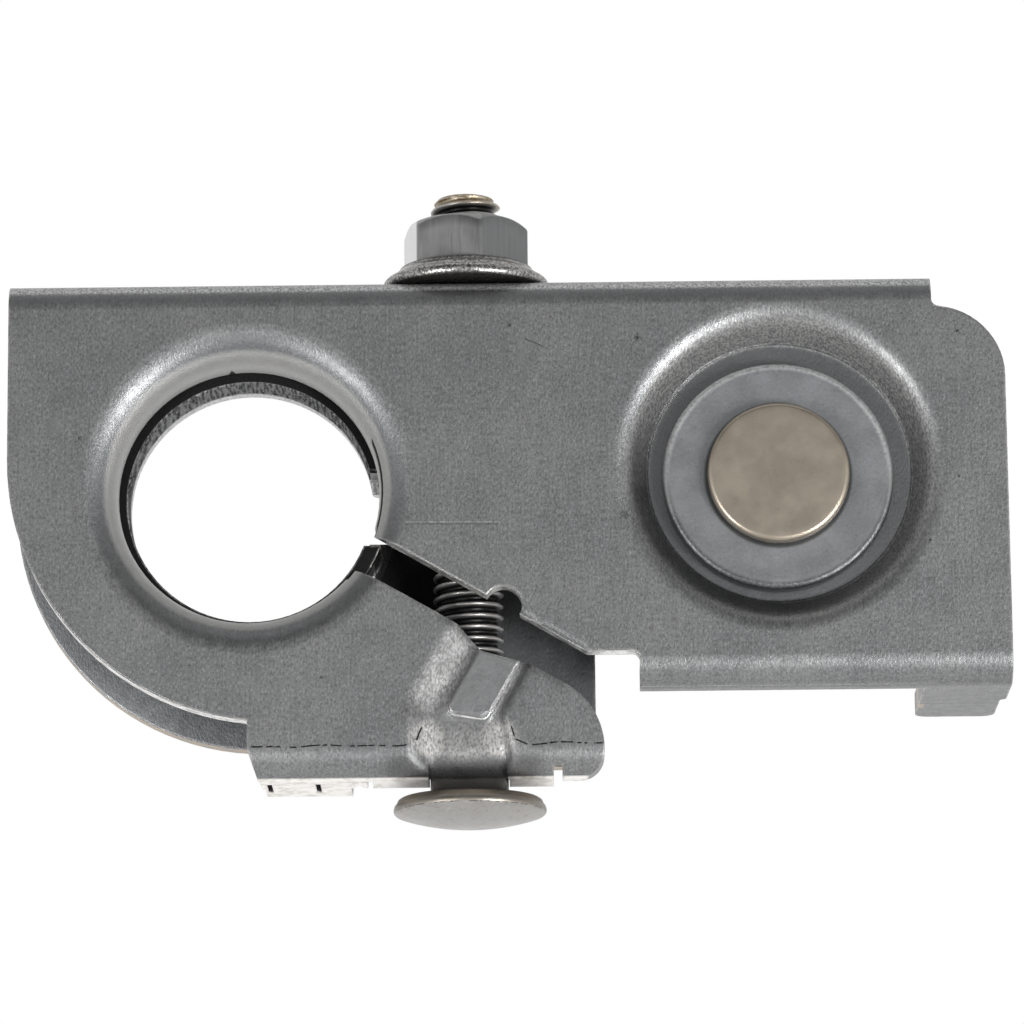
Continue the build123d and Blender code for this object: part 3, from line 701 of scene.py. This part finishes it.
def nut_piece():
    """Hexagon with a turned crown, a stepped washer flange with a rounded skirt, and its bore."""
    place = about_y(BOLT_X, 0.0)
    segments = 180
    corner = NUT_HALF / math.cos(math.pi / 6) - 0.07
    flat_r = 3.72
    inner_r = 3.5
    edge = 0.07

    def hexagon(t):
        a = (t + math.radians(NUT_TURN)) % (math.pi / 3)
        return min(NUT_HALF / math.cos(a - math.pi / 6), corner)

    def ring(radius, height):
        turns = [2 * math.pi * i / segments for i in range(segments)]
        return [place(radius(t), height(t), t) for t in turns]

    def plain(r, h):
        return ring(lambda t: r, lambda t: h)

    def crown(r):
        over = max(0.0, r - flat_r)
        return NUT_TOP - over * 0.5 * (1 + 0.75 * over)

    def outward(t, f):
        return inner_r + (hexagon(t) - inner_r) * f

    bore = [(NUT_MOUTH_R, NUT_SEAT + NUT_MOUTH_DEPTH)]
    bore += [(NUT_BORE_R, NUT_SEAT + 0.55 + 4.1 * k / 20) for k in range(21)]
    bore.append((2.85, NUT_TOP))
    rings = [plain(r, h) for r, h in bore]
    for f in (0.0, 0.15, 0.35, 0.6, 0.8, 0.93):
        rings.append(ring(lambda t: outward(t, f), lambda t: crown(outward(t, f))))
    rings.append(ring(lambda t: hexagon(t) - 0.03, lambda t: crown(hexagon(t)) + 0.01))
    foot = NUT_SEAT + NUT_STEP
    for f in (0.0, 0.25, 0.5, 0.75, 1.0):
        rings.append(ring(hexagon, lambda t: (crown(hexagon(t)) - edge) * (1 - f) + foot * f))
    skirt = [(4.62, NUT_STEP), (4.68, 1.7), (4.7, 1.6), (4.72, 1.52), (4.8, 1.46),
             (4.98, 1.36), (5.16, 1.2), (5.3, 1.04), (5.4, 0.9)]
    rings += [plain(r, NUT_SEAT + h) for r, h in skirt]
    rings += [plain(r, h) for r, h in arc(NUT_FLANGE_R - 0.5, NUT_SEAT + 0.5, 0.5, 55, -50, 8)]
    sole = [(5.5, 0.02), (5.3, 0.0), (3.2, 0.0), (NUT_MOUTH_R, NUT_MOUTH_DEPTH)]
    rings += [plain(r, NUT_SEAT + h) for r, h in sole]
    verts, faces = polar(rings, False, False)
    faces = [tuple(reversed(f)) for f in faces]
    return mesh_object("flange_nut", verts, faces, "nut", MAT_NUT, 26)


def washer_piece():
    """Plain washer with a rolled top edge and a slightly dished face."""
    place = about_z(*STUD)
    low = DIMPLE_FLOOR
    r = WASHER_R
    profile = [(WASHER_BORE_R, low), (r - 0.28, low), (r - 0.1, low + 0.06),
               (r - 0.02, low + 0.2), (r, low + 0.4), (r, WASHER_TOP - 0.5)]
    profile += arc(r - WASHER_ROUND, WASHER_TOP - WASHER_ROUND, WASHER_ROUND, 0, 90, 8)
    dish = ((7.3, 0.0), (6.7, 0.015), (5.9, 0.025), (5.0, 0.02), (4.5, 0.01), (4.3, 0.03), (WASHER_BORE_R, 0.1))
    profile += [(radius, WASHER_TOP - down) for radius, down in dish]
    profile.append((WASHER_BORE_R, low))
    verts, faces = polar([round_ring(place, radius, h, 144) for radius, h in profile], False, False)
    return mesh_object("dished_washer", verts, faces, "clamp", MAT_WASHER, 40)


def stud_piece():
    """Riveted head with a rounded rim, shoulder under the dimple, and the threaded end."""
    segments = 96
    place = about_z(STUD[0], STUD[1], -1.0)
    top = STUD_HEAD_TOP
    profile = [(POLE_R, top - 0.02), (2.0, top - 0.015), (3.4, top - 0.005), (4.2, top)]
    profile += arc(STUD_HEAD_R - STUD_HEAD_ROUND, top - STUD_HEAD_ROUND, STUD_HEAD_ROUND, 88, 0, 8)
    profile += [(STUD_HEAD_R, 4.62), (4.84, 4.42), (STUD_NECK_R, WASHER_TOP)]
    profile += [(STUD_NECK_R, 1.31), (6.2, STUD_SHOULDER_TOP)]
    profile += arc(6.3, STUD_SHOULDER_TOP - STUD_SHOULDER_ROUND, STUD_SHOULDER_ROUND, 90, 0, 4)
    profile += arc(6.3, 0.0, STUD_SHOULDER_ROUND, 0, -90, 4)
    profile += [(4.3, -0.2), (3.6, -0.32), (3.6, -1.0)]
    rings = [round_ring(place, r, h, segments) for r, h in profile]
    rings += thread_rings(place, STUD_R, STUD_THREAD_DEPTH, STUD_PITCH, -1.2, -14.2, 1.2, 0.9, segments, 12)
    verts, faces = polar(rings)
    return mesh_object("riveted_stud", verts, faces, "clamp", MAT_STUD, 50)


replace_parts(bolt_piece(), "clamp_bolt")
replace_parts(nut_piece(), "clamp_nut")
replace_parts(washer_piece(), "stud_washer")
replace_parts(stud_piece(), "terminal_stud")


# Floor, world, lamps and camera
def floor_material():
    """White to camera and glossy rays, and a pale diffuse floor to all other rays."""
    m = Nodes("pale_floor")
    m.bsdf.inputs["Base Color"].default_value = FLOOR_SHADE
    m.bsdf.inputs["Roughness"].default_value = 0.9
    glow = m.nt.nodes.new("ShaderNodeEmission")
    glow.inputs["Color"].default_value = WHITE
    glow.inputs["Strength"].default_value = 1.0
    path = m.nt.nodes.new("ShaderNodeLightPath")
    seen = m.math("MAXIMUM", path.outputs["Is Camera Ray"], path.outputs["Is Glossy Ray"])
    mix = m.nt.nodes.new("ShaderNodeMixShader")
    m.put(mix.inputs[0], seen)
    m.nt.links.new(m.bsdf.outputs[0], mix.inputs[1])
    m.nt.links.new(glow.outputs[0], mix.inputs[2])
    m.nt.links.new(mix.outputs[0], m.out.inputs[0])
    return m.mat


floor_mesh = bpy.data.meshes.new("floor")
floor_z = CAD_BOX[0][2] - FLOOR_DROP
corners = [(-1, -1), (1, -1), (1, 1), (-1, 1)]
floor_mesh.from_pydata([(a * FLOOR_HALF, b * FLOOR_HALF, floor_z) for a, b in corners], [], [(0, 1, 2, 3)])
floor_mesh.materials.append(floor_material())
floor = bpy.data.objects.new("floor", floor_mesh)
bpy.context.scene.collection.objects.link(floor)

scene = bpy.context.scene
world = bpy.data.worlds.new("studio")
scene.world = world
world.use_nodes = True
wt = world.node_tree
wt.nodes.clear()
w_out = wt.nodes.new("ShaderNodeOutputWorld")
bright = wt.nodes.new("ShaderNodeBackground")
soft = wt.nodes.new("ShaderNodeBackground")
pick = wt.nodes.new("ShaderNodeMixShader")
path = wt.nodes.new("ShaderNodeLightPath")
coord = wt.nodes.new("ShaderNodeTexCoord")
split = wt.nodes.new("ShaderNodeSeparateXYZ")
wt.links.new(coord.outputs["Generated"], split.inputs[0])


def sky_step(source, low, high, out_low, out_high):
    n = wt.nodes.new("ShaderNodeMapRange")
    n.interpolation_type = "SMOOTHSTEP"
    for socket, value in zip(("From Min", "From Max", "To Min", "To Max"), (low, high, out_low, out_high)):
        n.inputs[socket].default_value = value
    wt.links.new(source, n.inputs["Value"])
    return n.outputs["Result"]


def sky_math(op, a, b):
    n = wt.nodes.new("ShaderNodeMath")
    n.operation = op
    wt.links.new(a, n.inputs[0])
    wt.links.new(b, n.inputs[1])
    return n.outputs[0]


# White to the camera; as light it is bright round the horizon, fainter overhead and dimmest in a band towards +Y
overhead = sky_step(split.outputs["Z"], 0.12, 0.55, 1.3, 0.72)
band_start = sky_step(split.outputs["Y"], 0.28, 0.5, 0.0, 0.6)
band_end = sky_step(split.outputs["Y"], 0.78, 0.93, 1.0, 0.0)
sky = sky_math("SUBTRACT", overhead, sky_math("MULTIPLY", band_start, band_end))
wt.links.new(sky, soft.inputs["Strength"])
soft.inputs["Color"].default_value = WHITE
bright.inputs["Color"].default_value = WHITE
bright.inputs["Strength"].default_value = 1.0
wt.links.new(path.outputs["Is Camera Ray"], pick.inputs[0])
wt.links.new(soft.outputs[0], pick.inputs[1])
wt.links.new(bright.outputs[0], pick.inputs[2])
wt.links.new(pick.outputs[0], w_out.inputs[0])


for name, location, size, power in LAMPS:
    data = bpy.data.lights.new(name, "AREA")
    data.shape = "RECTANGLE"
    data.size, data.size_y = size
    data.energy = power
    lamp = bpy.data.objects.new(name, data)
    lamp.location = [c * MM for c in location]
    way = Vector(LAMP_TARGET) - Vector(location)
    lamp.rotation_euler = way.to_track_quat("-Z", "Y").to_euler()
    scene.collection.objects.link(lamp)

cam = bpy.data.cameras.new("photo_view")
cam.sensor_width = CAMERA_SENSOR
cam.lens = CAMERA_LENS
cam.clip_start = CAMERA_CLIP
camera = bpy.data.objects.new("photo_view", cam)
side = Vector(CAMERA_SIDE).normalized()
back = Vector(CAMERA_BACK).normalized()
up = back.cross(side).normalized()
side = up.cross(back).normalized()
turned = Matrix((side, up, back)).transposed().to_4x4()
camera.matrix_world = Matrix.Translation(Vector(CAMERA_AT)) @ turned
scene.collection.objects.link(camera)
scene.camera = camera
scene.view_settings.view_transform = "Standard"
